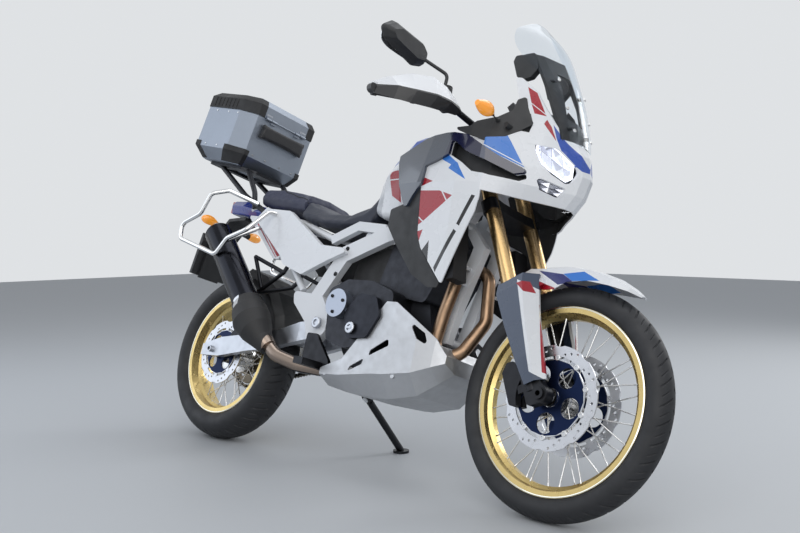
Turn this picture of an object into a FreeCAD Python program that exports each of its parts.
import FreeCAD, Part
import math
import os
from FreeCAD import Placement, Rotation, Vector

# Adventure motorcycle, full size, in millimetres.
# It is modelled upright and square to the axes: +X forward, +Y to the rider's left, +Z up,
# with x = 0 midway between the axles and z = 0 at the road. At the end every piece gets the
# same placement, which leans the motorcycle on its side stand.

# Wheels and steering geometry
WHEELBASE = 1575.0
FRONT_AXLE_X = WHEELBASE / 2
REAR_AXLE_X = -WHEELBASE / 2
FRONT_TYRE_R = 347.7
REAR_TYRE_R = 333.5
RAKE = math.radians(27.5)
STEER_GROUND_X = 900.5
AXLE_OFFSET = 60.3
FORK_OFFSET = 32.0
FORK_HALF = 105.0

# Parked placement
LEAN_DEG = 18.73
PITCH_DEG = 0.067
LIFT = 3.58
PARKED_SHIFT = Vector(46.0, -390.0, 0.0)

# Wheel sections: half widths are measured from the wheel's centre plane
FRONT_WHEEL = dict(tyre_r=FRONT_TYRE_R, tyre_half=45.0, crown_half=42.5, crown_drop=25.7, bulge_r=303.0,
                   flange_r=281.0, flange_half=30.0, seat_r=268.0, well_r=252.0, well_half=10.0,
                   wall=6.0, spoke_count=36, spoke_r=2.0, hub_r=27.0, hub_flange_r=46.0,
                   hub_flange_half=30.0, lacing_deg=52.0)
REAR_WHEEL = dict(tyre_r=REAR_TYRE_R, tyre_half=75.0, crown_half=68.0, crown_drop=32.0, bulge_r=282.0,
                  flange_r=242.5, flange_half=52.0, seat_r=229.0, well_r=214.0, well_half=14.0,
                  wall=6.5, spoke_count=36, spoke_r=2.2, hub_r=38.0, hub_flange_r=62.0,
                  hub_flange_half=36.0, lacing_deg=58.0)
AXLE_R = 12.5
AXLE_BORE_R = 8.0
PIVOT_X, PIVOT_Z = -186.0, 479.0
PIVOT_R = 13.0
BEARING_GAP = 0.3
FRONT_HUB_HALF = 74.0
REAR_HUB_HALF = 62.0

# Brake discs
FRONT_DISC_R = 155.0
FRONT_DISC_Y = 66.0
REAR_DISC_R = 128.0
REAR_DISC_Y = -76.0
DISC_THICK = 4.5

# Chain drive, on the left
CHAIN_Y = 84.0
SPROCKET_R = 96.0
FRONT_SPROCKET = (-95.0, 462.0)
FRONT_SPROCKET_R = 38.0

# Side stand
STAND_PIVOT = Vector(-130.0, 128.0, 268.0)
STAND_FOOT_XY = (-85.0, 322.0)
STAND_FOLDED = Vector(-256.0, 14.0, 8.0)
STAND_FOOT_R = 30.0
STAND_LEG_R = 13.0
STAND_PIN_R = 6.0

# Top case, in its own tilted frame: x runs forward from its back wall, z up from its floor
CASE_TILT_DEG = 9.0
CASE_ORIGIN = Vector(-1236.0, 0.0, 1166.0)
CASE_LENGTH = 343.0
CASE_HALF = 190.0
CASE_NOSE_HALF = 150.0
CASE_CORNER = 84.0
CASE_BEVEL = 46.0
CASE_BODY_H = 224.0
CASE_LID_H = 76.0
CASE_WALL = 3.0
CASE_PIN_R = 2.5
CASE_PIN_AHEAD = 7.0

nodes = {}


def vec(x, y, z):
    return Vector(x, y, z)


def rounded_wire(points, radius=0.0, closed=True):
    """Straight edges through points, with each corner turned into a tangent arc."""
    points = [Vector(p) for p in points]
    count = len(points)
    if radius <= 0:
        return Part.makePolygon(points + points[:1] if closed else points)
    trims = []
    for i, corner in enumerate(points):
        if not closed and i in (0, count - 1):
            trims.append(None)
            continue
        back = points[i - 1] - corner
        ahead = points[(i + 1) % count] - corner
        angle = back.getAngle(ahead)
        if angle > math.pi - 0.02:
            trims.append(None)
            continue
        cut = min(radius / math.tan(angle / 2), 0.45 * back.Length, 0.45 * ahead.Length)
        r = cut * math.tan(angle / 2)
        b, a = back.normalize(), ahead.normalize()
        middle = corner + (b + a).normalize() * (r / math.sin(angle / 2) - r)
        trims.append((corner + b * cut, middle, corner + a * cut))
    edges = []
    last = count if closed else count - 1
    for i in range(last):
        j = (i + 1) % count
        start = trims[i][2] if trims[i] else points[i]
        end = trims[j][0] if trims[j] else points[j]
        if (end - start).Length > 1e-6:
            edges.append(Part.LineSegment(start, end).toShape())
        if trims[j] and (closed or j < count - 1):
            edges.append(Part.Arc(*trims[j]).toShape())
    return Part.Wire(edges)


def side_panel(outline, y_low, y_high, radius=0.0):
    """A plate whose outline is seen from the side, given as (x, z) points."""
    wire = rounded_wire([vec(x, y_low, z) for x, z in outline], radius)
    return Part.Face(wire).extrude(vec(0, y_high - y_low, 0))


def rod(start, end, r):
    axis = Vector(end) - Vector(start)
    return Part.makeCylinder(r, axis.Length, Vector(start), axis)


def tube(points, r, bend):
    """A round tube along straight runs joined by tangent arcs."""
    path = rounded_wire(points, bend, closed=False)
    first, second = Vector(points[0]), Vector(points[1])
    ring = Part.Wire([Part.makeCircle(r, first, second - first)])
    return path.makePipeShell([ring], True, True)


def loft(sections, radius=0.0, ruled=True):
    """A solid through closed sections, each given as a list of points."""
    return Part.makeLoft([rounded_wire(s, radius) for s in sections], True, ruled)


def round_loft(stations, ruled=False):
    """A solid through circles: (x, y, z, radius) in a row, each square to the way it runs."""
    wires = []
    for i, (x, y, z, r) in enumerate(stations):
        before = Vector(*stations[max(i - 1, 0)][:3])
        after = Vector(*stations[min(i + 1, len(stations) - 1)][:3])
        wires.append(Part.Wire([Part.makeCircle(r, vec(x, y, z), after - before)]))
    return Part.makeLoft(wires, True, ruled)


def mirrored(shape):
    return shape.mirror(vec(0, 0, 0), vec(0, 1, 0))


def both_sides(shape):
    return Part.Compound([shape, mirrored(shape)])


def box(x0, x1, y0, y1, z0, z1):
    return Part.makeBox(x1 - x0, y1 - y0, z1 - z0, vec(x0, y0, z0))


def revolved(profile_edges, centre):
    """A ring turned about a wheel's axle, from edges drawn in the plane x = 0 as (y, r)."""
    face = Part.Face(Part.Wire(profile_edges))
    ring = face.revolve(vec(0, 0, 0), vec(0, 1, 0), 360)
    ring.translate(centre)
    return ring


def polyline(points):
    """Edges of a closed outline from (y, r) points; a three-point tuple of points is an arc."""
    edges = []
    here = None
    first = None
    for item in points:
        if isinstance(item[0], tuple):
            start, middle, end = [vec(0, y, r) for y, r in item]
            if here is not None and (here - start).Length > 1e-6:
                edges.append(Part.LineSegment(here, start).toShape())
            edges.append(Part.Arc(start, middle, end).toShape())
            first = start if first is None else first
            here = end
        else:
            point = vec(0, item[0], item[1])
            if here is not None and (here - point).Length > 1e-6:
                edges.append(Part.LineSegment(here, point).toShape())
            first = point if first is None else first
            here = point
    if (here - first).Length > 1e-6:
        edges.append(Part.LineSegment(here, first).toShape())
    return edges


def axle_point(front):
    if front:
        return vec(FRONT_AXLE_X, 0, FRONT_TYRE_R)
    return vec(REAR_AXLE_X, 0, REAR_TYRE_R)


# Fork frame: u runs ahead, square to the steering axis, and w up along it, from the foot of the axle
AHEAD = vec(math.cos(RAKE), 0, math.sin(RAKE))
STEER_UP = vec(-math.sin(RAKE), 0, math.cos(RAKE))
FORK_ORIGIN = axle_point(True) - AHEAD * AXLE_OFFSET


def fork(u, y, w):
    return FORK_ORIGIN + AHEAD * u + vec(0, y, 0) + STEER_UP * w


def fork_placement():
    """Takes local x to ahead, y to left and z to the way up the steering axis."""
    return Placement(FORK_ORIGIN, Rotation(vec(0, 1, 0), -math.degrees(RAKE)))


def in_fork_frame(shape):
    placed = shape.copy()
    placed.Placement = fork_placement().multiply(placed.Placement)
    return placed


# Parked placement: every piece is turned and lifted by the same amount
def parked_placement():
    lean = Placement(vec(0, 0, 0), Rotation(vec(1, 0, 0), -LEAN_DEG))
    pitch = Placement(vec(0, 0, 0), Rotation(vec(0, 1, 0), PITCH_DEG))
    lift = Placement(vec(0, 0, LIFT) + PARKED_SHIFT, Rotation())
    return lift.multiply(pitch).multiply(lean)


def floor_point(x, y):
    """Where the parked floor lies in the upright frame, below or above the point (x, y)."""
    back = parked_placement().inverse()
    normal = back.Rotation.multVec(vec(0, 0, 1))
    on_floor = back.multVec(vec(0, 0, 0))
    z = on_floor.z - (normal.x * (x - on_floor.x) + normal.y * (y - on_floor.y)) / normal.z
    return vec(x, y, z)


# Wheels
def tyre(w, centre):
    y_bead = w["flange_half"] - 2.3
    crown_low = w["tyre_r"] - w["crown_drop"]
    outline = [
        (-y_bead, w["seat_r"]), (y_bead, w["seat_r"]), (w["flange_half"], w["flange_r"]),
        ((w["flange_half"] + 4, w["flange_r"] + 2.5), (w["tyre_half"], w["bulge_r"]),
         (w["crown_half"], crown_low)),
        ((w["crown_half"], crown_low), (0.0, w["tyre_r"]), (-w["crown_half"], crown_low)),
        ((-w["crown_half"], crown_low), (-w["tyre_half"], w["bulge_r"]),
         (-w["flange_half"] - 4, w["flange_r"] + 2.5)),
        (-w["flange_half"], w["flange_r"]),
    ]
    return revolved(polyline(outline), centre)


def rim(w, centre):
    y_flange, y_bead = w["flange_half"], w["flange_half"] - 2.0
    y_well, wall = w["well_half"], w["wall"]
    half = [
        (y_flange + 4, w["flange_r"]), (y_flange, w["flange_r"]), (y_bead, w["seat_r"] - 0.3),
        (y_well + 5, w["seat_r"] - 2.5), (y_well, w["well_r"]),
    ]
    inner = [
        (y_well + 1, w["well_r"] - wall), (y_well + 9, w["seat_r"] - wall - 4),
        (y_flange + 3, w["seat_r"] - wall),
    ]
    outline = half + [(-y, r) for y, r in reversed(half)]
    outline += [(-y, r) for y, r in reversed(inner)] + inner
    return revolved(polyline(outline), centre)


def laced_hub(w, hub_half, centre, rim_shape):
    """Hub barrel with two spoke flanges, and spokes that lean both ways and cross."""
    barrel = rod(vec(0, -hub_half, 0), vec(0, hub_half, 0), w["hub_r"])
    flange_y = w["hub_flange_half"]
    pieces = [rod(vec(0, s * (flange_y - 8), 0), vec(0, s * (flange_y + 8), 0), w["hub_flange_r"])
              for s in (-1, 1)]
    # columns: side, lacing direction, inset of the spoke at the hub, inset at the rim
    lacing = ((1, 1, 5.0, 4.0), (1, -1, -5.0, -3.0), (-1, 1, 5.0, 4.0), (-1, -1, -5.0, -3.0))
    per_set = w["spoke_count"] // 4
    rim_end_r = w["well_r"] - 1.0
    for row, (side, turn, hub_in, rim_in) in enumerate(lacing):
        for k in range(per_set):
            hub_angle = 2 * math.pi * (k + row * 0.25) / per_set
            rim_angle = hub_angle + turn * math.radians(w["lacing_deg"])
            hub_r = w["hub_flange_r"] - 7
            start = vec(hub_r * math.sin(hub_angle), side * (flange_y + hub_in), hub_r * math.cos(hub_angle))
            end = vec(rim_end_r * math.sin(rim_angle), side * (w["well_half"] + rim_in - 4),
                      rim_end_r * math.cos(rim_angle))
            pieces.append(rod(start, end, w["spoke_r"]))
    hub = barrel.fuse(pieces)
    bore = rod(vec(0, -hub_half - 1, 0), vec(0, hub_half + 1, 0), AXLE_R + BEARING_GAP)
    hub = hub.cut(bore)
    hub.translate(centre)
    return hub.cut(rim_shape)


def wave_disc(outer_r, inner_r, y, centre, lobes, arms, hole_r=4.0):
    """Brake disc with a scalloped edge, rows of holes and a spider that bolts to the hub."""
    y0 = y - DISC_THICK / 2
    ring = Part.makeCylinder(outer_r, DISC_THICK, vec(0, y0, 0), vec(0, 1, 0))
    cuts = [Part.makeCylinder(inner_r, DISC_THICK, vec(0, y0, 0), vec(0, 1, 0))]
    scallop_r = 34.0
    for k in range(lobes):
        a = 2 * math.pi * k / lobes
        at = vec((outer_r + scallop_r - 4.5) * math.sin(a), y0, (outer_r + scallop_r - 4.5) * math.cos(a))
        cuts.append(Part.makeCylinder(scallop_r, DISC_THICK, at, vec(0, 1, 0)))
        for row, r in enumerate((inner_r + 8, (inner_r + outer_r) / 2, outer_r - 9)):
            b = a + math.pi / lobes * (0.55 + 0.45 * row)
            at = vec(r * math.sin(b), y0, r * math.cos(b))
            cuts.append(Part.makeCylinder(hole_r, DISC_THICK, at, vec(0, 1, 0)))
    ring = ring.cut(cuts)
    spider_r = inner_r - 9
    spider = Part.makeCylinder(spider_r, DISC_THICK, vec(0, y0, 0), vec(0, 1, 0))
    holes = [Part.makeCylinder(AXLE_R + 16, DISC_THICK, vec(0, y0, 0), vec(0, 1, 0))]
    buttons = []
    window_r = spider_r * 0.27
    for k in range(arms):
        a = 2 * math.pi * k / arms
        b = a + math.pi / arms
        at = vec(spider_r * 0.66 * math.sin(b), y0, spider_r * 0.66 * math.cos(b))
        holes.append(Part.makeCylinder(window_r, DISC_THICK, at, vec(0, 1, 0)))
        at = vec((spider_r + 4.5) * math.sin(a), y0 - 1.0, (spider_r + 4.5) * math.cos(a))
        buttons.append(Part.makeCylinder(9.0, DISC_THICK + 2.0, at, vec(0, 1, 0)))
        at = vec((spider_r + 4.5) * math.sin(b), y0 - 1.0, (spider_r + 4.5) * math.cos(b))
        buttons.append(Part.makeCylinder(9.0, DISC_THICK + 2.0, at, vec(0, 1, 0)))
    disc = ring.fuse([spider.cut(holes)] + buttons)
    disc.translate(centre)
    return disc


def sprocket_shape(radius, teeth, y, thick, centre):
    body = Part.makeCylinder(radius, thick, vec(0, y - thick / 2, 0), vec(0, 1, 0))
    gaps = []
    for k in range(teeth):
        a = 2 * math.pi * k / teeth
        at = vec((radius + 1.5) * math.sin(a), y - thick / 2, (radius + 1.5) * math.cos(a))
        gaps.append(Part.makeCylinder(5.0, thick, at, vec(0, 1, 0)))
    for k in range(5):
        a = 2 * math.pi * k / 5
        at = vec(radius * 0.68 * math.sin(a), y - thick / 2, radius * 0.68 * math.cos(a))
        gaps.append(Part.makeCylinder(radius * 0.17, thick, at, vec(0, 1, 0)))
    gaps.append(Part.makeCylinder(AXLE_R + 12, thick, vec(0, y - thick / 2, 0), vec(0, 1, 0)))
    body = body.cut(gaps)
    body.translate(centre)
    return body


def build_wheels():
    front, rear = axle_point(True), axle_point(False)
    nodes["front_rim"] = rim(FRONT_WHEEL, front)
    nodes["front_tyre"] = tyre(FRONT_WHEEL, front)
    hub = laced_hub(FRONT_WHEEL, FRONT_HUB_HALF, front, nodes["front_rim"])
    disc = wave_disc(FRONT_DISC_R, 122.0, FRONT_DISC_Y, front, 10, 5)
    nodes["front_discs"] = both_sides(disc).cut(rod(front + vec(0, -80, 0), front + vec(0, 80, 0), 27.0))
    nodes["front_hub_and_spokes"] = hub
    nodes["rear_rim"] = rim(REAR_WHEEL, rear)
    nodes["rear_tyre"] = tyre(REAR_WHEEL, rear)
    nodes["rear_hub_and_spokes"] = laced_hub(REAR_WHEEL, REAR_HUB_HALF, rear, nodes["rear_rim"])
    # the disc and the sprocket sit on short necks at the two ends of the hub
    neck_r = 27.0
    disc = wave_disc(REAR_DISC_R, 98.0, REAR_DISC_Y, rear, 8, 4)
    neck = rod(rear + vec(0, REAR_DISC_Y + DISC_THICK / 2, 0), rear + vec(0, -REAR_HUB_HALF, 0), neck_r + 8)
    disc = disc.fuse(neck).cut(rod(rear + vec(0, -100, 0), rear + vec(0, 0, 0), AXLE_R + BEARING_GAP))
    nodes["rear_disc"] = disc
    sprocket = sprocket_shape(SPROCKET_R, 42, CHAIN_Y, 7.0, rear)
    neck = rod(rear + vec(0, REAR_HUB_HALF, 0), rear + vec(0, CHAIN_Y - 3.5, 0), 62.0)
    sprocket = sprocket.fuse(neck).cut(rod(rear + vec(0, 0, 0), rear + vec(0, 110, 0), AXLE_R + BEARING_GAP))
    nodes["rear_sprocket"] = sprocket


# Steered front end
GOLD_TUBE_R = 25.0
SLIDER_R = 21.5
LOWER_CLAMP_W = 640.0
UPPER_CLAMP_W = 850.0


def build_fork():
    legs, tubes = [], []
    for side in (-1, 1):
        y = side * FORK_HALF
        tubes.append(rod(fork(FORK_OFFSET, y, 300), fork(FORK_OFFSET, y, 876), GOLD_TUBE_R))
        leg = rod(fork(FORK_OFFSET, y, 20), fork(FORK_OFFSET, y, 300), SLIDER_R)
        lug = rod(fork(AXLE_OFFSET, y - 22, 0), fork(AXLE_OFFSET, y + 16, 0), 26)
        web = in_fork_frame(Part.Face(rounded_wire([
            vec(10, y - 18, -20), vec(70, y - 18, -26), vec(78, y - 18, 10), vec(56, y - 18, 90),
            vec(8, y - 18, 90)], 12)).extrude(vec(0, 34, 0)))
        # ears that the brake caliper bolts to
        ears = [in_fork_frame(box(-24, 20, *sorted((side * 87, side * 97)), w, w + 24)) for w in (36, 100)]
        legs.append(leg.fuse([lug, web] + ears))
    nodes["fork_tubes"] = Part.Compound(tubes)
    axle = rod(fork(AXLE_OFFSET, -FORK_HALF - 30, 0), fork(AXLE_OFFSET, FORK_HALF + 24, 0), AXLE_R)
    head = rod(fork(AXLE_OFFSET, -FORK_HALF - 30, 0), fork(AXLE_OFFSET, -FORK_HALF - 22, 0), 17)
    bore = rod(fork(AXLE_OFFSET, -FORK_HALF - 40, 0), fork(AXLE_OFFSET, FORK_HALF + 40, 0), AXLE_BORE_R)
    nodes["fork_legs"] = legs[0].fuse([legs[1], axle, head]).cut(bore)

    clamps = []
    for w, thick in ((LOWER_CLAMP_W, 40.0), (UPPER_CLAMP_W, 28.0)):
        outline = [vec(-26, -40, w), vec(8, -134, w), vec(60, -136, w), vec(52, -60, w),
                   vec(52, 60, w), vec(60, 136, w), vec(8, 134, w), vec(-26, 40, w)]
        plate = Part.Face(rounded_wire(outline, 20)).extrude(vec(0, 0, thick))
        clamps.append(in_fork_frame(plate))
    stem = rod(fork(0, 0, LOWER_CLAMP_W + 10), fork(0, 0, UPPER_CLAMP_W + 44), 15)
    risers = []
    for side in (-1, 1):
        foot = fork(0, side * 42, UPPER_CLAMP_W + 20)
        risers.append(rod(foot, vec(282, side * 42, 1238), 17))
    clamp = clamps[0].fuse(clamps[1:] + [stem] + risers)
    holes = [rod(fork(FORK_OFFSET, s * FORK_HALF, 600), fork(FORK_OFFSET, s * FORK_HALF, 900), GOLD_TUBE_R)
             for s in (-1, 1)]
    clamp = clamp.cut(holes + [handlebar_tube()])
    nodes["triple_clamps"] = clamp


# columns: x, y, z of the handlebar's bends on the left side, centre outwards
BAR_ROUTE = ((282, 0, 1226), (282, 92, 1226), (252, 200, 1256), (150, 452, 1206))
BAR_R = 11.0


def handlebar_tube():
    left = [vec(*p) for p in BAR_ROUTE]
    right = [vec(p.x, -p.y, p.z) for p in reversed(left[1:])]
    return tube(right + left[1:], BAR_R, 60)


def bar_point(y):
    """A point on the outer straight of the handlebar, y counted outwards."""
    a, b = vec(*BAR_ROUTE[2]), vec(*BAR_ROUTE[3])
    t = (y - a.y) / (b.y - a.y)
    return a + (b - a) * t


# Hand guard sections, each a channel open to the rear.
# columns: y outwards, then x, z of the rear top edge, the ridge, the crease and the lower edge
GUARD_SECTIONS = (
    (470, (148, 1222), (172, 1218), (190, 1204), (184, 1180)),
    (440, (182, 1250), (214, 1250), (258, 1212), (248, 1170)),
    (400, (208, 1274), (262, 1272), (302, 1208), (284, 1168)),
    (350, (242, 1284), (312, 1276), (350, 1208), (322, 1170)),
    (300, (274, 1274), (330, 1262), (366, 1206), (338, 1176)),
    (250, (304, 1244), (338, 1236), (366, 1200), (346, 1184)),
)
GUARD_WALL = 4.0


def hand_guard(side):
    """One shell: each section's outer line, and the same line moved in by the wall."""
    sections = []
    for y, *line in GUARD_SECTIONS:
        outer = [vec(x, side * y, z) for x, z in line]
        (x0, z0), (x1, z1), (x2, z2), (x3, z3) = line
        w = GUARD_WALL
        inner = [vec(x0, side * y, z0 - w), vec(x1 - w * 0.6, side * y, z1 - w),
                 vec(x2 - w * 1.2, side * y, z2), vec(x3 - w, side * y, z3 + w * 0.4)]
        sections.append(outer + inner[::-1])
    return loft(sections)


def build_controls():
    bar = handlebar_tube()
    nodes["handlebar"] = bar
    grips, levers, guards, mirrors = [], [], [], []
    for side in (-1, 1):
        def at(y, dx=0.0, dz=0.0):
            p = bar_point(y)
            return vec(p.x + dx, side * p.y, p.z + dz)
        grip = rod(at(318), at(444), 17).fuse([rod(at(312), at(322), 22), rod(at(438), at(452), 20)])
        grips.append(grip.cut(bar))
        housing = rod(at(262), at(311), 21)
        perch = rod(at(230), at(254), 17)
        lever = tube([at(242, 24, 4), at(282, 52, 0), at(430, 66, -4)], 6, 20)
        reservoir = rod(at(238, 34, 14), at(238, 30, 48), 21)
        arm = rod(at(242, 0, 0), at(242, 30, 12), 11)
        stalk_foot = rod(at(222, 0, 8), at(222, 0, 36), 9)
        controls = housing.fuse([perch, lever, reservoir, arm, stalk_foot,
                                 rod(at(222), at(232), 15)])
        levers.append(controls.cut(bar))
        # the guard is held by a boss on the end of the bar and a stay from the lever's clamp
        end_boss = rod(at(452), vec(160, side * 470, 1204), 12)
        end_cap = rod(vec(156, side * 462, 1203), vec(184, side * 470, 1202), 17)
        stay = tube([at(258, 16, -10), vec(300, side * 262, 1196), vec(352, side * 262, 1196)], 6, 12)
        guard = hand_guard(side).fuse([end_boss, end_cap, stay])
        guards.append(guard.cut([bar, controls, grip]))
        # mirror: a shell on a thin stalk
        stalk = tube([at(222, 0, 36), at(222, 0, 100), at(300, -30, 150)], 6, 20)
        head = mirror_head(side)
        mirrors.append(stalk.fuse(head))
    nodes["hand_controls"] = Part.Compound(grips + levers)
    nodes["handguards"] = Part.Compound(guards)
    nodes["mirrors"] = Part.Compound(mirrors)


def mirror_head(side):
    # columns: x, half height, y inner, y outer; z centre falls towards the bars
    table = ((196, 30, 290, 462, 1398), (176, 44, 276, 480, 1402), (158, 50, 272, 486, 1404),
             (150, 48, 274, 484, 1404))
    sections = []
    for x, half, y0, y1, z in table:
        sections.append([vec(x, side * y0, z - half * 0.7), vec(x, side * (y0 + 40), z - half),
                         vec(x, side * (y1 - 24), z - half * 0.4), vec(x, side * y1, z + half * 0.3),
                         vec(x, side * (y1 - 40), z + half), vec(x, side * (y0 + 24), z + half * 0.8),
                         vec(x, side * y0, z + half * 0.2)])
    return loft(sections, 14)


def build_front_fender():
    """Arc over the tyre, flanged down at its sides, with a pointed nose."""
    centre = axle_point(True)
    # columns: angle from straight up (forwards positive), crown radius, half width, side drop
    table = ((-32, 437, 30, 12), (-24, 434, 58, 44), (-17, 427, 72, 96), (-10, 418, 75, 92), (-3, 409, 75, 64),
             (8, 401, 74, 46), (19, 397, 64, 34), (27, 393, 42, 18), (32, 389, 14, 7))
    outer, inner = [], []
    wall = 3.5
    for a_deg, r, half, drop in table:
        a = math.radians(a_deg)
        up = vec(math.sin(a), 0, math.cos(a))
        def at(y, h):
            return centre + up * h + vec(0, y, 0)
        outer.append([at(-half, r - drop), at(-half * 0.86, r - drop * 0.25), at(0, r),
                      at(half * 0.86, r - drop * 0.25), at(half, r - drop)])
        inner.append([at(-half + wall, r - drop - 1), at(-half * 0.86 + wall, r - drop * 0.25 - wall),
                      at(0, r - wall), at(half * 0.86 - wall, r - drop * 0.25 - wall),
                      at(half - wall, r - drop - 1)])
    shell = loft(outer).cut(loft(inner))
    # brackets to the two fork tubes
    brackets = [in_fork_frame(box(30, 136, *sorted((s * 60, s * 86)), 335, 357)) for s in (-1, 1)]
    nodes["front_fender"] = shell.fuse(brackets).cut([nodes["fork_tubes"], nodes["fork_legs"], loft(inner)])


def build_fork_guards():
    guards = []
    # columns: w along the fork, u back, u front, y inner front, y outer
    table = ((40, 16, 84, 104, 134), (120, 6, 92, 100, 138), (240, -4, 104, 92, 140), (345, -8, 122, 82, 140),
             (372, 4, 130, 80, 137))
    wall = 3.0
    for side in (-1, 1):
        outer, inner = [], []
        for w, u0, u1, yf, yo in table:
            outer.append([vec(u0, side * (yo - 22), w), vec(u0 + 6, side * yo, w), vec(u1 - 26, side * (yo + 2), w),
                          vec(u1, side * (yf + 6), w), vec(u1 - 2, side * (yf - 4), w)])
            inner.append([vec(u0 - 8, side * (yo - 30), w), vec(u0 + 6, side * (yo - wall), w),
                          vec(u1 - 28, side * (yo + 2 - wall), w), vec(u1 - wall - 1, side * (yf + 5), w),
                          vec(u1 - 30, side * (yf - 10), w)])
        first, last = inner[0], inner[-1]
        inner.insert(0, [vec(p.x, p.y, p.z - 2) for p in first])
        inner.append([vec(p.x, p.y, p.z + 2) for p in last])
        guard = in_fork_frame(loft(outer)).cut(in_fork_frame(loft(inner)))
        guards.append(guard)
    keep = [nodes[n] for n in ("fork_legs", "fork_tubes", "front_fender")]
    nodes["fork_guards"] = Part.Compound(guards).cut(keep)


def build_front_calipers():
    calipers = []
    for side in (-1, 1):
        body = Part.Face(rounded_wire([
            vec(-64, 0, 12), vec(-64, 0, 118), vec(-40, 0, 142), vec(-14, 0, 138), vec(-4, 0, 92),
            vec(-4, 0, 28), vec(-20, 0, 4)], 12)).extrude(vec(0, 58, 0))
        body.translate(vec(0, 0, 0))
        if side > 0:
            body.translate(vec(0, 40, 0))
        else:
            body.translate(vec(0, -98, 0))
        body = in_fork_frame(body)
        slot = Part.makeCylinder(FRONT_DISC_R + 5, DISC_THICK + 4,
                                 vec(FRONT_AXLE_X, side * FRONT_DISC_Y - DISC_THICK / 2 - 2, FRONT_TYRE_R),
                                 vec(0, 1, 0))
        hub_room = Part.makeCylinder(100, 200, vec(FRONT_AXLE_X, -100, FRONT_TYRE_R), vec(0, 1, 0))
        calipers.append(body.cut([slot, hub_room]))
    legs = nodes["fork_legs"]
    nodes["front_calipers"] = Part.Compound(calipers).cut(legs)


# Frame
def build_frame():
    head_tube = rod(fork(0, 0, LOWER_CLAMP_W + 44), fork(0, 0, UPPER_CLAMP_W - 4), 32)
    head_bore = rod(fork(0, 0, LOWER_CLAMP_W), fork(0, 0, UPPER_CLAMP_W + 40), 20)
    pieces = []
    for s in (-1, 1):
        # main spar from the head to the swingarm pivot
        spar = loft([
            [vec(392, s * 20, 930), vec(392, s * 46, 930), vec(360, s * 46, 1016), vec(360, s * 20, 1016)],
            [vec(300, s * 78, 880), vec(300, s * 104, 880), vec(290, s * 104, 950), vec(290, s * 78, 950)],
            [vec(60, s * 112, 786), vec(60, s * 140, 786), vec(44, s * 140, 842), vec(44, s * 112, 842)],
            [vec(-120, s * 112, 712), vec(-120, s * 140, 712), vec(-158, s * 140, 764), vec(-158, s * 112, 764)],
            [vec(-205, s * 112, 575), vec(-205, s * 140, 575), vec(-268, s * 140, 580), vec(-268, s * 112, 580)],
        ])
        seat_rail = loft([
            [vec(40, s * 114, 815), vec(40, s * 138, 815), vec(34, s * 138, 850), vec(34, s * 114, 850)],
            [vec(-100, s * 114, 828), vec(-100, s * 138, 828), vec(-104, s * 138, 862), vec(-104, s * 114, 862)],
            [vec(-222, s * 114, 776), vec(-222, s * 138, 776), vec(-238, s * 138, 806), vec(-238, s * 114, 806)],
        ])
        plate = side_panel([(-366, 592), (-205, 582), (-150, 520), (-146, 455), (-190, 405), (-236, 420),
                            (-262, 478), (-349, 546)], *sorted((s * 108, s * 140)), 14)
        down = loft([
            [vec(370, s * 20, 960), vec(370, s * 50, 960), vec(326, s * 50, 975), vec(326, s * 20, 975)],
            [vec(340, s * 30, 885), vec(340, s * 60, 885), vec(306, s * 60, 885), vec(306, s * 30, 885)],
            [vec(430, s * 34, 796), vec(430, s * 62, 796), vec(380, s * 62, 796), vec(380, s * 34, 796)],
            [vec(378, s * 34, 600), vec(378, s * 64, 600), vec(336, s * 64, 600), vec(336, s * 34, 600)],
            [vec(356, s * 34, 470), vec(356, s * 64, 470), vec(306, s * 64, 470), vec(306, s * 34, 470)],
        ])
        # arms that carry the radiators
        arms = [rod(vec(x, s * 58, z), vec(402, s * 140, z), 6) for x, z in ((385, 720), (375, 668))]
        pieces += [spar, seat_rail, plate, down] + arms
    # stays that carry the dash and the nose, from the head tube forward between the fork tubes
    pieces += [rod(vec(400, s * 20, 1000), vec(545, s * 22, 1124), 9) for s in (-1, 1)]
    cradle = [rod(vec(331, -60, 480), vec(331, 60, 480), 14), rod(vec(-250, -120, 560), vec(-250, 120, 560), 16),
              rod(vec(-60, -120, 812), vec(-60, 120, 812), 14)]
    pin_axis = stand_axis()
    mount = rod(STAND_PIVOT + pin_axis * 9, STAND_PIVOT + pin_axis * 24, 19)
    arm = rod(STAND_PIVOT + pin_axis * 24, vec(-190, 124, 424), 13)
    pin = rod(STAND_PIVOT - pin_axis * 14, STAND_PIVOT + pin_axis * 12, STAND_PIN_R)
    pin_head = rod(STAND_PIVOT - pin_axis * 14, STAND_PIVOT - pin_axis * 9.5, 11)
    frame = head_tube.fuse(pieces + cradle + [mount, arm, pin, pin_head]).cut(head_bore)
    pivot = rod(vec(PIVOT_X, -160, PIVOT_Z), vec(PIVOT_X, 160, PIVOT_Z), PIVOT_R)
    nodes["main_frame"] = frame.cut(pivot)

    rails = []
    for s in (-1, 1):
        upper = tube([vec(-240, s * 112, 800), vec(-430, s * 112, 862), vec(-800, s * 92, 930)], 13, 120)
        lower = tube([vec(-330, s * 124, 596), vec(-452, s * 126, 716), vec(-640, s * 110, 866),
                      vec(-668, s * 102, 905)], 13, 60)
        rails += [upper, lower]
    rails += [rod(vec(-470, -112, 862), vec(-470, 112, 862), 10), rod(vec(-790, -92, 928), vec(-790, 92, 928), 10)]
    subframe = rails[0].fuse(rails[1:])
    nodes["subframe"] = subframe.cut(nodes["main_frame"])


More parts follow.
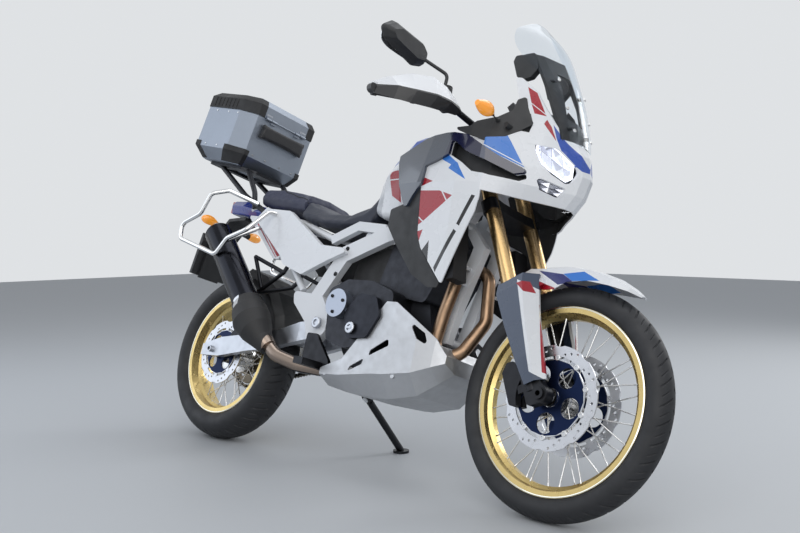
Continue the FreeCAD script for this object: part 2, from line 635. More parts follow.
def build_engine():
    crank = side_panel([(-150, 470), (-110, 400), (-60, 352), (210, 340), (290, 380), (300, 470), (250, 600),
                        (60, 640), (-100, 640), (-140, 590)], -70, 70, 30)
    barrels = side_panel([(20, 620), (252, 590), (300, 700), (330, 800), (290, 862), (110, 872), (60, 800)],
                         -100, 100, 24)
    right = side_panel([(-146, 600), (-60, 640), (60, 640), (169, 607), (186, 500), (114, 420), (-12, 400),
                        (-107, 420)], -165, -70, 30)
    left = side_panel([(-20, 560), (20, 640), (140, 630), (226, 540), (210, 430), (60, 380), (-26, 400)],
                      70, 150, 24)
    engine = crank.fuse([barrels, right, left]).cut(nodes["main_frame"])
    nodes["engine_block"] = engine.removeSplitter()
    clutch = rod(vec(-59, -199, 547), vec(-59, -165, 547), 50)
    right_cover = side_panel([(-20, 520), (40, 590), (120, 580), (150, 520), (110, 440), (20, 430)],
                             -188, -165, 24)
    cap = rod(vec(35, -196, 466), vec(35, -188, 466), 18)
    left_cover = rod(vec(96, 150, 508), vec(96, 174, 508), 92)
    right_part = clutch.fuse([right_cover, cap])
    nodes["engine_covers"] = Part.Compound([right_part, left_cover])


def build_cooling():
    radiators = []
    for s in (-1, 1):
        core = box(-17, 17, -34, 34, -98, 98)
        core.rotate(vec(0, 0, 0), vec(0, 1, 0), -12)
        core.translate(vec(404, s * 167, 748))
        radiators.append(core)
    nodes["radiators"] = Part.Compound(radiators).cut(nodes["main_frame"])


def build_exhaust():
    front = tube([vec(300, 0, 740), vec(420, 0, 725), vec(452, -8, 560), vec(420, -60, 440),
                  vec(372, -84, 420)], 21, 60)
    rear = tube([vec(300, -84, 740), vec(372, -90, 720), vec(344, -94, 560), vec(334, -96, 460),
                 vec(372, -96, 408)], 21, 50)
    nodes["exhaust_headers"] = front.fuse(rear).cut([nodes["engine_block"], nodes["main_frame"]])
    link = tube([vec(-120, -100, 322), vec(-225, -140, 318), vec(-330, -176, 340), vec(-430, -192, 405)], 24, 90)
    canister = round_loft([(-888, -184, 812, 38), (-872, -184, 798, 54), (-700, -187, 646, 55),
                           (-546, -191, 510, 54)], ruled=True)
    ring = rod(vec(-558, -191, 520), vec(-544, -191, 508), 60)
    shield = round_loft([(-550, -192, 514, 57), (-515, -198, 482, 68), (-484, -202, 450, 73), (-446, -200, 418, 62),
                         (-408, -194, 386, 42), (-372, -186, 362, 32)], ruled=True)
    nodes["muffler"] = canister.fuse([ring, shield, link])


def build_skid_plate():
    # columns: x, z of the upper edge, half width at the top, z of the bend, half width there, z of the floor
    table = ((-88, 322, 172, 300, 172, 270), (10, 362, 176, 306, 176, 258), (160, 570, 176, 326, 176, 256),
             (206, 570, 176, 330, 174, 258), (320, 508, 170, 348, 168, 284), (384, 468, 150, 376, 150, 334),
             (424, 420, 130, 396, 130, 372))
    wall = 4.0
    outer, inner = [], []
    for x, z_top, y_top, z_bend, y_bend, z_floor in table:
        def ring(inset, up):
            return [vec(x, -y_top + inset, z_top + up), vec(x, -y_bend + inset, z_bend),
                    vec(x, -y_bend + 56, z_floor + inset), vec(x, y_bend - 56, z_floor + inset),
                    vec(x, y_bend - inset, z_bend), vec(x, y_top - inset, z_top + up)]
        outer.append(ring(0.0, 0.0))
        inner.append(ring(wall, 2.0))
    inner[0] = [p - vec(2, 0, 0) for p in inner[0]]
    inner[-1] = [p - vec(4, 0, 0) for p in inner[-1]]
    plate = loft(outer).cut(loft(inner))
    slots = []
    # slots through both sides, as (x, z) corners
    for outline in (((204, 448), (134, 402), (130, 382), (210, 424)), ((114, 374), (56, 340), (48, 322), (108, 352)),
                    ((272, 516), (344, 480), (362, 440), (318, 458))):
        slots.append(side_panel(outline, -190, 190, 8))
    # cross rods inside the plate, with posts up to the crankcase
    rods = []
    for x, z in ((-60, 306), (250, 330)):
        half = 173 if x < 0 else 169
        rods.append(rod(vec(x, -half, z), vec(x, half, z), 8))
        rods += [rod(vec(x, s * 52, z), vec(x, s * 52, z + 100), 8) for s in (-1, 1)]
    plate = plate.cut(slots).fuse(rods)
    nodes["skid_plate"] = plate.cut([nodes["engine_block"], nodes["engine_covers"], nodes["main_frame"],
                                     nodes["exhaust_headers"], nodes["muffler"]])


# Bodywork
def section_loft(table, corner, ruled=False):
    """Sections across the motorcycle: (x, then (half width, z) pairs from the top centre down)."""
    wires = []
    for x, *pairs in table:
        right = [vec(x, -y, z) for y, z in pairs]
        left = [vec(x, y, z) for y, z in reversed(pairs) if y > 0]
        wires.append(right + left)
    return loft(wires, corner, ruled)


def build_tank():
    # columns: x, then half width and height at the ridge, shoulder, side and foot
    table = (
        (-84, (0, 1085), (46, 1078), (84, 1020), (92, 905)),
        (-30, (0, 1180), (80, 1130), (128, 1030), (110, 885)),
        (60, (0, 1249), (112, 1168), (166, 1050), (112, 885)),
        (160, (0, 1230), (118, 1180), (176, 1060), (106, 930)),
        (216, (0, 1200), (104, 1160), (156, 1070), (84, 960)),
    )
    tank = section_loft(table, 26, ruled=True)
    feet = [rod(vec(70, s * 122, 820), vec(70, s * 106, 905), 9) for s in (-1, 1)]
    clamp_room = Part.makeCylinder(160, 60, fork(0, 0, UPPER_CLAMP_W - 10), STEER_UP)
    nodes["fuel_tank"] = tank.fuse(feet).cut([nodes["main_frame"], nodes["engine_block"], clamp_room])


def build_seats():
    # columns: x, then half width and height at the middle, top edge, side and foot
    rider = (
        (-92, (0, 1066), (48, 1058), (80, 960), (96, 868)),
        (-140, (0, 952), (66, 946), (104, 900), (108, 860)),
        (-205, (0, 908), (92, 900), (128, 868), (124, 852)),
        (-307, (0, 912), (112, 902), (148, 866), (140, 850)),
        (-400, (0, 944), (114, 938), (150, 894), (140, 868)),
        (-432, (0, 964), (112, 960), (144, 905), (136, 880)),
    )
    passenger = (
        (-436, (0, 984), (106, 976), (136, 940), (130, 905)),
        (-520, (0, 1002), (106, 990), (136, 950), (126, 915)),
        (-640, (0, 1022), (98, 1010), (124, 970), (116, 930)),
        (-760, (0, 1030), (86, 1020), (106, 985), (98, 950)),
    )
    keep = [nodes["main_frame"], nodes["subframe"], nodes["fuel_tank"]]
    feet = [rod(vec(-370, s * 112, 845), vec(-370, s * 112, 875), 10) for s in (-1, 1)]
    nodes["rider_seat"] = section_loft(rider, 14, ruled=True).fuse(feet).cut(keep)
    nodes["passenger_seat"] = section_loft(passenger, 14, ruled=True).cut(keep)


SIDE_COVER = ((-605, 908), (-477, 898), (-253, 765), (-135, 756), (-114, 741), (-199, 708), (-325, 650),
              (-444, 686), (-469, 717), (-679, 866), (-621, 917))
TAIL_PANEL = ((-768, 892), (-690, 886), (-579, 824), (-500, 728), (-512, 712), (-546, 714), (-722, 853))


def build_side_covers():
    covers = []
    for s in (-1, 1):
        y0, y1 = sorted((s * 140.5, s * 162))
        covers.append(side_panel(SIDE_COVER, y0, y1, 16))
        covers.append(side_panel(TAIL_PANEL, *sorted((s * 118, s * 134)), 6))
    nodes["side_covers"] = Part.Compound(covers).cut([nodes["main_frame"], nodes["subframe"],
                                                      nodes["rider_seat"], nodes["passenger_seat"]])


# columns: x, half width of the outer skin at z = 1200, 960 and 620
FAIRING_SKIN = ((-40, 150, 196, 176), (90, 168, 214, 182), (240, 190, 236, 194), (400, 198, 246, 206),
                (490, 190, 226, 206), (545, 150, 182, 184), (610, 104, 132, 150))
SKIN_LEVELS = (1200.0, 960.0, 620.0)
SKIN_WALL = 4.0

FAIRING_OUTLINE = ((103, 1042), (98, 1071), (201, 1124), (250, 1133), (341, 1140), (393, 1126), (458, 1106),
                   (490, 1104), (492, 912), (486, 866), (404, 636), (396, 636), (290, 744), (266, 790),
                   (256, 900), (248, 1006), (122, 1006))
KNEE_PANEL = ((124, 1005), (247, 1005), (255, 900), (265, 790), (289, 743), (394, 634), (376, 604), (263, 660),
              (156, 769), (110, 822), (112, 880), (182, 896))
FAIRING_STAY = (350, 862)
# air outlet below the rail, and the black tray that closes it from behind
VENT = ((330, 1110), (353, 1104), (408, 1066), (463, 1044), (530, 1018), (571, 1003), (594, 1014), (598, 998),
        (580, 986), (508, 987), (445, 997), (398, 1029), (338, 1060))
VENT_LINER = ((318, 1122), (356, 1116), (412, 1078), (466, 1056), (534, 1030), (600, 1026), (606, 990),
              (580, 974), (504, 975), (438, 987), (392, 1018), (326, 1050))
VENT_DEPTH = 26.0
VENT_FLOOR = 4.0

# Front cowl. columns: z, then x of its skin at each half width in NOSE_Y
NOSE_Y = (0.0, 30.0, 65.0, 110.0, 150.0, 190.0, 226.0)
NOSE_LEVELS = (
    (936, 690, 682, 650, 604, 566, 530, 490),
    (980, 722, 712, 678, 630, 584, 540, 492),
    (1040, 736, 725, 690, 640, 590, 540, 484),
    (1112, 716, 706, 672, 620, 568, 516, 474),
    (1154, 686, 678, 655, 608, 560, 512, 472),
)
# the same skin carried up where the two horns flank the screen
HORN_LEVELS = (
    (1100, 719, 709, 676, 624, 572, 516, 480),
    (1154, 686, 678, 655, 608, 560, 510, 462),
    (1200, 676, 668, 646, 600, 554, 500, 452),
    (1265, 656, 648, 624, 574, 526, 474, 430),
    (1350, 630, 620, 592, 538, 490, 440, 400),
)
COWL_REAR_X = 470.0
HORN_REAR_X = 390.0
HORN = ((655, 1118), (634, 1190), (580, 1262), (552, 1304), (499, 1349), (484, 1345), (506, 1290), (520, 1262),
        (550, 1240), (574, 1188), (570, 1150), (574, 1116))
# columns: half width and height round each opening, seen from the front
HEADLIGHT = ((129, 1139), (116, 1150), (75, 1109), (42, 1068), (38, 1052), (48, 1014), (60, 1006), (97, 1028),
             (119, 1052), (128, 1092))
CORNER_LAMP = ((126, 1012), (54, 992), (60, 960), (108, 973))
LENS_INSET = 5.0
LENS_DEPTH = 46.0

# Black trim in the notch behind the horn: side outline, and x, half width, inward lean over its height
SHROUD = ((536, 1276), (549, 1240), (573, 1192), (577, 1180), (554, 1157), (517, 1126), (458, 1107), (393, 1127),
          (341, 1148), (333, 1158), (391, 1160), (410, 1176), (476, 1192), (512, 1222), (516, 1262))
SHROUD_ROOM = ((400, 1210), (577, 1210), (577, 1181), (553, 1156), (517, 1125), (458, 1106), (400, 1124))
SHROUD_SKIN = ((320, 222, 10), (400, 221, 12), (470, 214, 30), (530, 186, 36), (590, 150, 36))


def vent(s):
    """The air outlet under the rail, cut straight through from the side."""
    return side_panel(VENT, *sorted((s * 60, s * 330)), 6)


def fairing_skin(s, inset=0.0, wall=None):
    wall = SKIN_WALL if wall is None else wall
    outer = []
    for x, y_high, y_mid, y_low in FAIRING_SKIN:
        ys = [y - inset for y in (y_high, y_mid, y_low)]
        out = [vec(x, s * y, z) for y, z in zip(ys, SKIN_LEVELS)]
        back = [vec(x, s * (y - wall), z) for y, z in zip(ys, SKIN_LEVELS)]
        outer.append(out + back[::-1])
    return loft(outer)


def build_fairings():
    panels = []
    for s in (-1, 1):
        y0, y1 = sorted((s * 60, s * 330))
        x, z = FAIRING_STAY
        stay = rod(vec(x, s * 50, z), vec(x, s * 229, z), 7)
        panels.append(fairing_skin(s).common(side_panel(FAIRING_OUTLINE, y0, y1, 12)).fuse(stay))
    vents = [vent(s) for s in (-1, 1)]
    keep = [nodes["main_frame"], nodes["radiators"], nodes["engine_block"]]
    nodes["side_fairings"] = Part.Compound(panels).cut([nose_solid(0.0, COWL_REAR_X)] + vents + keep)
    # black trays behind the outlets, seated on the back of the skin
    liners = []
    for s in (-1, 1):
        y0, y1 = sorted((s * 60, s * 330))
        block = fairing_skin(s, SKIN_WALL, VENT_DEPTH).common(side_panel(VENT_LINER, y0, y1, 6))
        liners.append(block.cut(fairing_skin(s, -SKIN_WALL, 2 * SKIN_WALL + VENT_DEPTH - VENT_FLOOR).common(vent(s))))
    nodes["vent_liners"] = Part.Compound(liners)


def nose_level_wire(z, xs, inset, rear_x):
    left = [vec(x - inset, max(y - inset, 0), z) for x, y in zip(reversed(xs), reversed(NOSE_Y))]
    right = [vec(p.x, -p.y, z) for p in reversed(left) if p.y > 0]
    return [vec(rear_x, NOSE_Y[-1] - inset, z)] + left + right + [vec(rear_x, -NOSE_Y[-1] + inset, z)]


def nose_solid(inset, rear_x, levels=None):
    levels = NOSE_LEVELS if levels is None else levels
    return loft([nose_level_wire(z, xs, inset, rear_x) for z, *xs in levels])


def lens(s, outline):
    """A lamp opening: its outline as the front shows it, pushed straight back through the nose."""
    front = 900.0
    corners = [vec(front, s * y, z) for y, z in outline]
    return Part.Face(rounded_wire(corners, 8)).extrude(vec(-(front - 520.0), 0, 0))


def build_nose():
    shell = nose_solid(0.0, COWL_REAR_X).cut([nose_solid(SKIN_WALL, COWL_REAR_X - 10)])
    horn_skin = nose_solid(0.0, HORN_REAR_X, HORN_LEVELS).cut(nose_solid(SKIN_WALL, HORN_REAR_X - 10, HORN_LEVELS))
    front = nose_solid(LENS_INSET, COWL_REAR_X - 10)
    back = front.translated(vec(-LENS_DEPTH, 0, 0))
    horns, lamps, openings, shroud_room = [], [], [], []
    for s in (-1, 1):
        horns.append(horn_skin.common(side_panel(HORN, *sorted((s * 50, s * 240)), 8)))
        shroud_room.append(side_panel(SHROUD_ROOM, *sorted((s * 100, s * 260))))
        for outline in (HEADLIGHT, CORNER_LAMP):
            openings.append(lens(s, outline))
            lamps.append(front.common(lens(s, outline)).cut(back))
    nose = shell.cut(shroud_room + openings)
    nose = nose.fuse([h for horn in horns for h in horn.Solids])
    nodes["nose_cowl"] = nose.cut([vent(s) for s in (-1, 1)])
    nodes["headlights"] = Part.Compound(lamps).cut(nodes["nose_cowl"])
    nodes["vent_liners"] = nodes["vent_liners"].cut([nodes["headlights"], nodes["nose_cowl"]])


# columns: z, x of the centre line, half width, how far the edge sweeps back
SCREEN = ((1150, 690, 58, 12), (1214, 672, 78, 20), (1330, 630, 102, 40), (1453, 570, 148, 106),
          (1525, 519, 150, 80), (1580, 462, 84, 34), (1604, 438, 40, 8))
SCREEN_WALL = 4.0
SCREEN_BEND = 0.55
# columns: z, x of the screen's centre line there, half width of the support
SUPPORT = ((1150, 690, 70), (1214, 672, 84), (1330, 630, 96), (1453, 570, 98))
SUPPORT_GAP = 22.0
SUPPORT_WALL = 12.0
SUPPORT_CHEEK = ((414, 1436), (420, 1456), (496, 1457), (524, 1400), (500, 1370), (475, 1366), (442, 1377))


def screen_row(z, x, half, sweep, back, width=None):
    """Points across the screen at a height, or across a sheet that lies behind it."""
    width = half if width is None else width
    bend = half * SCREEN_BEND
    edge = 0.3 * sweep + 0.7 * sweep * (width - bend) / (half - bend)
    row = ((-width, edge), (-bend, 0.3 * sweep), (0, 0.0), (bend, 0.3 * sweep), (width, edge))
    return [vec(x - away - back, y, z) for y, away in row]


def screen_sheet(front, back, widths=None):
    """A sheet from front to back behind the screen's face, as wide as the screen or as widths say."""
    sections = []
    for i, row in enumerate(SCREEN if widths is None else SCREEN[:len(widths)]):
        width = None if widths is None else widths[i]
        sections.append(screen_row(*row, front, width) + screen_row(*row, back, width)[::-1])
    return loft(sections)


def build_screen():
    """Clear sheet, bowed sideways, and the black frame that holds it from behind."""
    nodes["windscreen"] = screen_sheet(0.0, SCREEN_WALL).cut(nodes["nose_cowl"])
    widths = [half for _, _, half in SUPPORT]
    panel = screen_sheet(SUPPORT_GAP, SUPPORT_GAP + SUPPORT_WALL, widths)
    window = box(500, 700, -46, 46, 1236, 1400)
    gap = screen_sheet(SCREEN_WALL, SUPPORT_GAP + 4)
    pieces = []
    for s in (-1, 1):
        pieces.append(side_panel(SUPPORT_CHEEK, *sorted((s * 82, s * 104)), 8))
        for z, y in ((1200, 46), (1360, 76)):
            pieces += rod(vec(480, s * y, z), vec(700, s * y, z), 6).common(gap).Solids
    panel = panel.cut(window).fuse(pieces)
    nodes["screen_support"] = panel.cut([screen_sheet(-60.0, SCREEN_WALL), nodes["windscreen"], nodes["nose_cowl"]])


def build_dash():
    # flat display over a binnacle, ahead of the handlebar
    display = box(0, 26, -86, 86, 0, 104)
    display.rotate(vec(0, 0, 0), vec(0, 1, 0), -38)
    display.translate(vec(478, 0, 1196))
    # columns: y, then x, z round the binnacle seen from the side
    sides = ((0, (512, 1112), (640, 1120), (640, 1200), (566, 1266), (512, 1244), (484, 1182)),
             (80, (512, 1112), (606, 1120), (604, 1192), (556, 1254), (512, 1238), (484, 1182)),
             (140, (516, 1114), (548, 1118), (552, 1172), (536, 1216), (512, 1212), (488, 1182)))
    rows = [[vec(x, -y, z) for x, z in pts] for y, *pts in reversed(sides)]
    rows += [[vec(x, y, z) for x, z in pts] for y, *pts in sides[1:]]
    binnacle = loft(rows)
    # black side trims that close the cowl's notches and carry the turn signals
    trims = []
    for s in (-1, 1):
        sections = []
        for x, y, lean in SHROUD_SKIN:
            sections.append([vec(x, s * y, 1090), vec(x, s * (y - lean), 1290),
                             vec(x, s * (y - lean - 4), 1290), vec(x, s * (y - 4), 1090)])
        trims.append(loft(sections).common(side_panel(SHROUD, *sorted((s * 60, s * 300)), 6)))
        trims.append(rod(vec(520, s * 130, 1160), vec(520, s * 200, 1160), 9))
        trims.append(rod(vec(540, s * 120, 1140), vec(543, s * 163, 1134), 7))
    trims.append(rod(vec(610, 0, 1150), vec(699, 0, 1136), 9))
    keep = [nodes["nose_cowl"], nodes["screen_support"], nodes["headlights"], nodes["side_fairings"],
            nodes["main_frame"]]
    # what the cowl's skin cuts off the ends of the stays falls away
    nodes["dash"] = max(display.fuse([binnacle] + trims).cut(keep).Solids, key=lambda solid: solid.Volume)


# side outline of the shoulder band: up from its tip at the knee, forward along the rail above the
# air outlet to the cowl's V, and back below it
SHOULDER_BAND = ((189, 884), (176, 905), (100, 1044), (91, 1075), (201, 1129), (246, 1138), (294, 1143),
                 (328, 1142), (392, 1128), (444, 1098), (522, 1054), (592, 1026), (597, 1014), (571, 1003),
                 (530, 1018), (463, 1044), (408, 1066), (353, 1104), (330, 1110), (338, 1060), (293, 1038),
                 (250, 1022), (261, 958), (222, 913), (203, 884))
SHOULDER_PROUD = 11.0
RAIL_PROUD = 7.0


def build_shoulder_bars():
    bands = []
    for s in (-1, 1):
        panel = side_panel(SHOULDER_BAND, *sorted((s * 100, s * 300)), 6)
        band = panel.common(fairing_skin(s, -SHOULDER_PROUD, 40.0))
        rail = panel.common(nose_solid(-RAIL_PROUD, COWL_REAR_X))
        body = [fairing_skin(s, 0.0, 60.0), nose_solid(0.0, COWL_REAR_X)]
        bands += [solid for solid in band.fuse(rail).cut(body).Solids if solid.Volume > 2000]
    nodes["shoulder_bars"] = Part.Compound(bands).cut([nodes["fuel_tank"], nodes["dash"]])
    knees = []
    for s in (-1, 1):
        panel = fairing_skin(s).common(side_panel(KNEE_PANEL, *sorted((s * 100, s * 300)), 8))
        boss = rod(vec(150, s * 120, 840), vec(150, s * 208, 840), 8)
        knees.append(panel.fuse(boss))
    nodes["knee_covers"] = Part.Compound(knees).cut([nodes["side_fairings"], nodes["fuel_tank"],
                                                     nodes["shoulder_bars"], nodes["main_frame"]])


# side outlines of the rear mudguard and the blank plate carrier on its end
MUDGUARD = ((-900, 914), (-1014, 906), (-1112, 790), (-1136, 640), (-1126, 640), (-1101, 784), (-1007, 893),
            (-900, 900))
PLATE_CARRIER = ((-1146, 650), (-1133, 650), (-1110, 796), (-1116, 830), (-1124, 830))


def build_tail():
    # columns: x, then half width and height at the ridge, edge and foot
    table = (
        (-600, (0, 928), (100, 922), (122, 900), (104, 884)),
        (-760, (0, 948), (86, 946), (112, 920), (96, 892)),
        (-900, (0, 986), (60, 980), (84, 950), (70, 916)),
        (-1012, (0, 996), (40, 990), (56, 966), (46, 930)),
    )
    tail = section_loft(table, 10, ruled=True).cut([nodes["subframe"], nodes["passenger_seat"], nodes["side_covers"]])
    nodes["tail_cowl"] = tail
    nodes["tail_lamp"] = box(-1030, -1012, -42, 42, 936, 986)
    half = 52.0
    guard = side_panel(MUDGUARD, -half, half, 6)
    carrier = side_panel(PLATE_CARRIER, -90, 90)
    hanger = rod(vec(-930, 0, 900), vec(-930, 0, 945), 14)
    nodes["rear_mudguard"] = guard.fuse([carrier, hanger]).cut(tail)


def build_rack():
    # luggage plate below the top case, on two pairs of struts
    tilt = Placement(CASE_ORIGIN, Rotation(vec(0, 1, 0), CASE_TILT_DEG))
    plate = Part.Face(rounded_wire([vec(60, -120, -12), vec(300, -120, -12), vec(360, -70, -12), vec(360, 70, -12),
                                    vec(300, 120, -12), vec(60, 120, -12)], 20)).extrude(vec(0, 0, 12))
    hole = Part.Face(rounded_wire([vec(110, -70, -14), vec(270, -70, -14), vec(270, 70, -14), vec(110, 70, -14)],
                                  14)).extrude(vec(0, 0, 16))
    plate = plate.cut(hole)
    plate.Placement = tilt
    struts = []
    for s in (-1, 1):
        struts.append(tube([vec(-780, s * 106, 930), vec(-800, s * 112, 1000), vec(-905, s * 96, 1106)], 11, 50))
        struts.append(tube([vec(-700, s * 108, 912), vec(-850, s * 118, 985), vec(-1110, s * 100, 1140)], 11, 60))
    keep = [nodes["tail_cowl"], nodes["subframe"], nodes["passenger_seat"], nodes["side_covers"], case_room()]
    nodes["luggage_rack"] = plate.fuse(struts).cut(keep)


def case_room():
    room = box(-20, 400, -220, 220, 0, 120)
    room.Placement = Placement(CASE_ORIGIN, Rotation(vec(0, 1, 0), CASE_TILT_DEG))
    return room


def case_ring(z, inset, corner=CASE_CORNER):
    """Plan outline of the top case at a height: eight sided, with its front corners cut off."""
    x0, x1, y = inset, CASE_LENGTH - inset, CASE_HALF - inset
    nose = CASE_NOSE_HALF - inset * 0.4
    return [vec(x0, -y + 24, z), vec(x0 + 24, -y, z), vec(x1 - corner, -y, z), vec(x1, -nose, z),
            vec(x1, nose, z), vec(x1 - corner, y, z), vec(x0 + 24, y, z), vec(x0, y - 24, z)]


def build_top_case():
    tilt = Placement(CASE_ORIGIN, Rotation(vec(0, 1, 0), CASE_TILT_DEG))
    body = loft([case_ring(0, 36), case_ring(CASE_BEVEL, 0), case_ring(CASE_BODY_H, 0)])
    hollow = loft([case_ring(CASE_WALL, 36 + CASE_WALL), case_ring(CASE_BEVEL + 1, CASE_WALL),
                   case_ring(CASE_BODY_H + 1, CASE_WALL)])
    lid_z = CASE_BODY_H + 1.0
    lid = loft([case_ring(lid_z, 0), case_ring(lid_z + CASE_LID_H - 26, 0), case_ring(lid_z + CASE_LID_H, 24)])
    lid_hollow = loft([case_ring(lid_z - 1, CASE_WALL), case_ring(lid_z + CASE_LID_H - 27, CASE_WALL),
                       case_ring(lid_z + CASE_LID_H - CASE_WALL, 24 + CASE_WALL)])
    # hinge along the front edge: the body's knuckles hold the pin and the lid's turn on it
    pin_x, pin_z = CASE_LENGTH + CASE_PIN_AHEAD, CASE_BODY_H + 0.5
    body_side, lid_side = [], []
    for y0, y1, kind in ((-112, -84, "lid"), (-82, -54, "body"), (54, 82, "body"), (84, 112, "lid")):
        barrel = rod(vec(pin_x, y0, pin_z), vec(pin_x, y1, pin_z), CASE_PIN_R + 3.5)
        low, high = (pin_z - 14, pin_z) if kind == "body" else (pin_z + 1, pin_z + 14)
        leaf = box(CASE_LENGTH, CASE_LENGTH + CASE_PIN_AHEAD, y0, y1, low, high)
        (body_side if kind == "body" else lid_side).append(barrel.fuse(leaf))
    pin = rod(vec(pin_x, -114, pin_z), vec(pin_x, 114, pin_z), CASE_PIN_R)
    pin_room = rod(vec(pin_x, -120, pin_z), vec(pin_x, 120, pin_z), CASE_PIN_R + BEARING_GAP)
    body = body.cut(hollow).fuse(body_side + [pin])
    lid = lid.cut(lid_hollow).fuse(lid_side).cut(pin_room)
    pad = box(CASE_LENGTH, CASE_LENGTH + 22, -118, 118, 134, 200)
    for name, shape in (("top_case_body", body), ("top_case_lid", lid), ("backrest_pad", pad)):
        shape.Placement = tilt
        nodes[name] = shape


# columns: x, y outwards, z of the rail's bends
RAIL_ROUTE = ((-540, 108, 884), (-566, 190, 884), (-601, 250, 792), (-705, 252, 757), (-756, 252, 689),
              (-1029, 252, 754), (-1043, 252, 817), (-930, 252, 861), (-898, 248, 949), (-842, 206, 974),
              (-742, 120, 944))


def build_rails():
    rails = []
    for s in (-1, 1):
        route = [vec(x, s * y, z) for x, y, z in RAIL_ROUTE]
        brace = rod(vec(-716, s * 252, 744), vec(-640, s * 112, 862), 8)
        rails.append(tube(route, 9, 30).fuse(brace))
    rails = Part.Compound(rails)
    nodes["side_covers"] = nodes["side_covers"].cut(rails)
    keep = [nodes[n] for n in ("subframe", "tail_cowl", "luggage_rack", "passenger_seat")]
    nodes["pannier_rails"] = rails.cut(keep)


def build_swingarm():
    # columns: x, then z low and z high, y inner and outer on the right, and on the chain's side
    table = ((-150, 452, 506, -62, -100, 36, 66), (-300, 408, 480, -92, -126, 40, 68),
             (-420, 374, 438, -100, -130, 42, 70), (-500, 356, 424, -103, -130, 103, 130),
             (-560, 348, 414, -103, -130, 103, 130), (-740, 310, 386, -103, -130, 103, 130),
             (-850, 306, 350, -103, -130, 103, 130))
    right = loft([[vec(x, y0, z0), vec(x, y1, z0), vec(x, y1, z1), vec(x, y0, z1)]
                  for x, z0, z1, y0, y1, _, _ in table])
    left = loft([[vec(x, y0, z0), vec(x, y1, z0), vec(x, y1, z1), vec(x, y0, z1)]
                 for x, z0, z1, _, _, y0, y1 in table])
    cross = box(-400, -320, -100, 45, 404, 452)
    axle = rod(vec(REAR_AXLE_X, -144, REAR_TYRE_R), vec(REAR_AXLE_X, 144, REAR_TYRE_R), AXLE_R)
    pivot = rod(vec(PIVOT_X, -152, PIVOT_Z), vec(PIVOT_X, 152, PIVOT_Z), PIVOT_R)
    arm = right.fuse([left, cross]).cut([nodes["main_frame"], nodes["engine_block"]])
    bore = rod(vec(REAR_AXLE_X, -200, REAR_TYRE_R), vec(REAR_AXLE_X, 200, REAR_TYRE_R), AXLE_BORE_R)
    nodes["engine_block"] = nodes["engine_block"].cut(pivot)
    nodes["swingarm"] = arm.fuse([axle, pivot]).cut(bore)

    caliper = side_panel([(-742, 380), (-700, 440), (-652, 430), (-640, 390), (-680, 376), (-720, 372)],
                         -103, -60, 10)
    slot = Part.makeCylinder(REAR_DISC_R + 5, DISC_THICK + 5,
                             vec(REAR_AXLE_X, REAR_DISC_Y - DISC_THICK / 2 - 2.5, REAR_TYRE_R), vec(0, 1, 0))
    nodes["rear_caliper"] = caliper.cut(slot)


def chain_loop():
    """Closed band round the two sprockets, just outside the tooth tips."""
    rear = vec(REAR_AXLE_X, 0, REAR_TYRE_R)
    front = vec(FRONT_SPROCKET[0], 0, FRONT_SPROCKET[1])
    r1, r2 = SPROCKET_R + 5.5, FRONT_SPROCKET_R + 5.5
    span = front - rear
    base = math.atan2(span.z, span.x)
    spread = math.acos((r1 - r2) / span.Length)

    def ring(grow):
        def on(centre, r, angle):
            return centre + vec(math.cos(angle), 0, math.sin(angle)) * (r + grow)
        top, bottom = base + spread, base - spread
        edges = [
            Part.LineSegment(on(rear, r1, top), on(front, r2, top)).toShape(),
            Part.Arc(on(front, r2, top), on(front, r2, base), on(front, r2, bottom)).toShape(),
            Part.LineSegment(on(front, r2, bottom), on(rear, r1, bottom)).toShape(),
            Part.Arc(on(rear, r1, bottom), on(rear, r1, base + math.pi), on(rear, r1, top)).toShape(),
        ]
        return Part.Face(Part.Wire(edges))
    band = ring(12.0).cut(ring(0.0))
    band.translate(vec(0, CHAIN_Y - 8.5, 0))
    return band.extrude(vec(0, 17, 0))


def build_drive():
    nodes["drive_chain"] = chain_loop()
    outer, inner = [], []
    centre = vec(REAR_AXLE_X, 0, REAR_TYRE_R)
    for a_deg, r in ((12, 356), (30, 356), (48, 356), (66, 356), (84, 356)):
        a = math.radians(a_deg)
        out = vec(math.cos(a), 0, math.sin(a))
        outer.append([centre + out * (r - 30) + vec(0, -84, 0), centre + out * r + vec(0, -62, 0),
                      centre + out * r + vec(0, 62, 0), centre + out * (r - 30) + vec(0, 84, 0)])
        inner.append([centre + out * (r - 34) + vec(0, -81, 0), centre + out * (r - 4) + vec(0, -60, 0),
                      centre + out * (r - 4) + vec(0, 60, 0), centre + out * (r - 34) + vec(0, 81, 0)])
    hugger = loft(outer).cut(loft(inner))
    nodes["rear_hugger"] = hugger.cut([nodes["swingarm"], nodes["drive_chain"]])


# passenger peg bracket: where its bars meet, as x, y outwards, z, and which of these each bar joins
HANGER_NODES = {"top": (-672, 120, 722), "upper": (-470, 124, 662), "upper_rail": (-446, 122, 708),
                "foot": (-612, 120, 572), "lower": (-398, 124, 606), "lower_rail": (-366, 122, 634),
                "tie": (-582, 121, 594)}
HANGER_BARS = (("top", "upper"), ("upper", "upper_rail"), ("foot", "upper"), ("foot", "lower"),
               ("lower", "lower_rail"), ("top", "tie"))
HANGER_R = 8.0


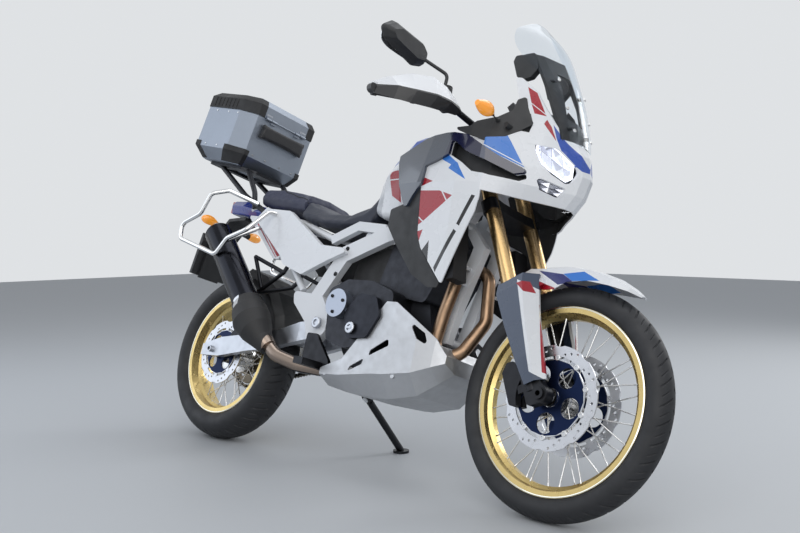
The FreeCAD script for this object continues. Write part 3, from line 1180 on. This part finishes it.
def build_pegs():
    pegs = []
    for s in (-1, 1):
        bracket = side_panel([(-217, 440), (-170, 440), (-80, 352), (-70, 326), (-110, 312), (-180, 320), (-217, 350)],
                             *sorted((s * 140, s * 154)), 8)
        peg = box(-150, -104, *sorted((s * 154, s * 246)), 316, 340)
        pegs.append(bracket.fuse(peg))
    hangers = []
    for s in (-1, 1):
        bars = []
        for start, end in HANGER_BARS:
            (x0, y0, z0), (x1, y1, z1) = HANGER_NODES[start], HANGER_NODES[end]
            bars.append(rod(vec(x0, s * y0, z0), vec(x1, s * y1, z1), HANGER_R))
        peg = side_panel([(-668, 624), (-592, 582), (-622, 556), (-690, 600)], *sorted((s * 116, s * 132)), 6)
        hangers.append(bars[0].fuse(bars[1:] + [peg]))
    nodes["foot_pegs"] = Part.Compound(pegs + hangers).cut([nodes[n] for n in (
        "main_frame", "subframe", "side_covers", "muffler", "engine_block", "engine_covers", "skid_plate",
        "pannier_rails")])


def build_signals():
    lamps = []
    for s in (-1, 1):
        body = round_loft([(482, s * 197, 1179, 8), (484, s * 236, 1185, 10), (485, s * 250, 1187, 19),
                           (487, s * 300, 1187, 17), (488, s * 318, 1187, 9)])
        lamps.append(body)
    rears = []
    for s in (-1, 1):
        rears.append(round_loft([(-1040, s * 46, 865, 5), (-1044, s * 90, 870, 12), (-1048, s * 112, 875, 19),
                                 (-1052, s * 150, 876, 16), (-1053, s * 160, 876, 8)]))
    nodes["turn_signals"] = Part.Compound(lamps + rears).cut([nodes["dash"], nodes["rear_mudguard"]])


def stand_foot():
    return floor_point(*STAND_FOOT_XY)


def stand_axis():
    """The stand's pin is square to its leg both when it is down and when it is folded back."""
    return (stand_foot() - STAND_PIVOT).cross(STAND_FOLDED).normalize()


def build_stand():
    foot = stand_foot()
    up = parked_placement().inverse().Rotation.multVec(vec(0, 0, 1))
    pad = Part.makeCylinder(STAND_FOOT_R, 9, foot, up)
    leg_end = foot + up * 6
    along = (leg_end - STAND_PIVOT).normalize()
    leg = rod(STAND_PIVOT + along * 19.5, leg_end, STAND_LEG_R)
    eye = rod(STAND_PIVOT - stand_axis() * 9, STAND_PIVOT + stand_axis() * 8.5, 20)
    bore = rod(STAND_PIVOT - stand_axis() * 30, STAND_PIVOT + stand_axis() * 30, STAND_PIN_R + BEARING_GAP)
    nodes["side_stand"] = pad.fuse([leg, eye]).cut(bore).common(above_floor())


def above_floor():
    room = box(-700, 700, -700, 900, 0, 900)
    room.Placement = parked_placement().inverse()
    return room


def export_all():
    os.makedirs("parts", exist_ok=True)
    parked = parked_placement()
    low, high = [1e9] * 3, [-1e9] * 3
    for name, shape in nodes.items():
        placed = shape.copy()
        placed.Placement = parked.multiply(placed.Placement)
        bound = placed.BoundBox
        low = [min(a, b) for a, b in zip(low, (bound.XMin, bound.YMin, bound.ZMin))]
        high = [max(a, b) for a, b in zip(high, (bound.XMax, bound.YMax, bound.ZMax))]
        placed.exportStep("parts/%s.step" % name)
        print("%-24s solids %2d  volume %8.2f l  valid %s" % (name, len(placed.Solids), placed.Volume / 1e6,
                                                             placed.isValid()))
    print("low", [round(a, 1) for a in low], "high", [round(a, 1) for a in high])


build_wheels()
build_fork()
build_controls()
build_front_fender()
build_fork_guards()
build_front_calipers()
build_frame()
build_engine()
build_cooling()
build_exhaust()
build_skid_plate()
build_tank()
build_seats()
build_side_covers()
build_fairings()
build_nose()
build_screen()
build_dash()
build_shoulder_bars()
build_tail()
build_rack()
build_top_case()
build_rails()
build_swingarm()
build_drive()
build_pegs()
build_signals()
build_stand()
export_all()
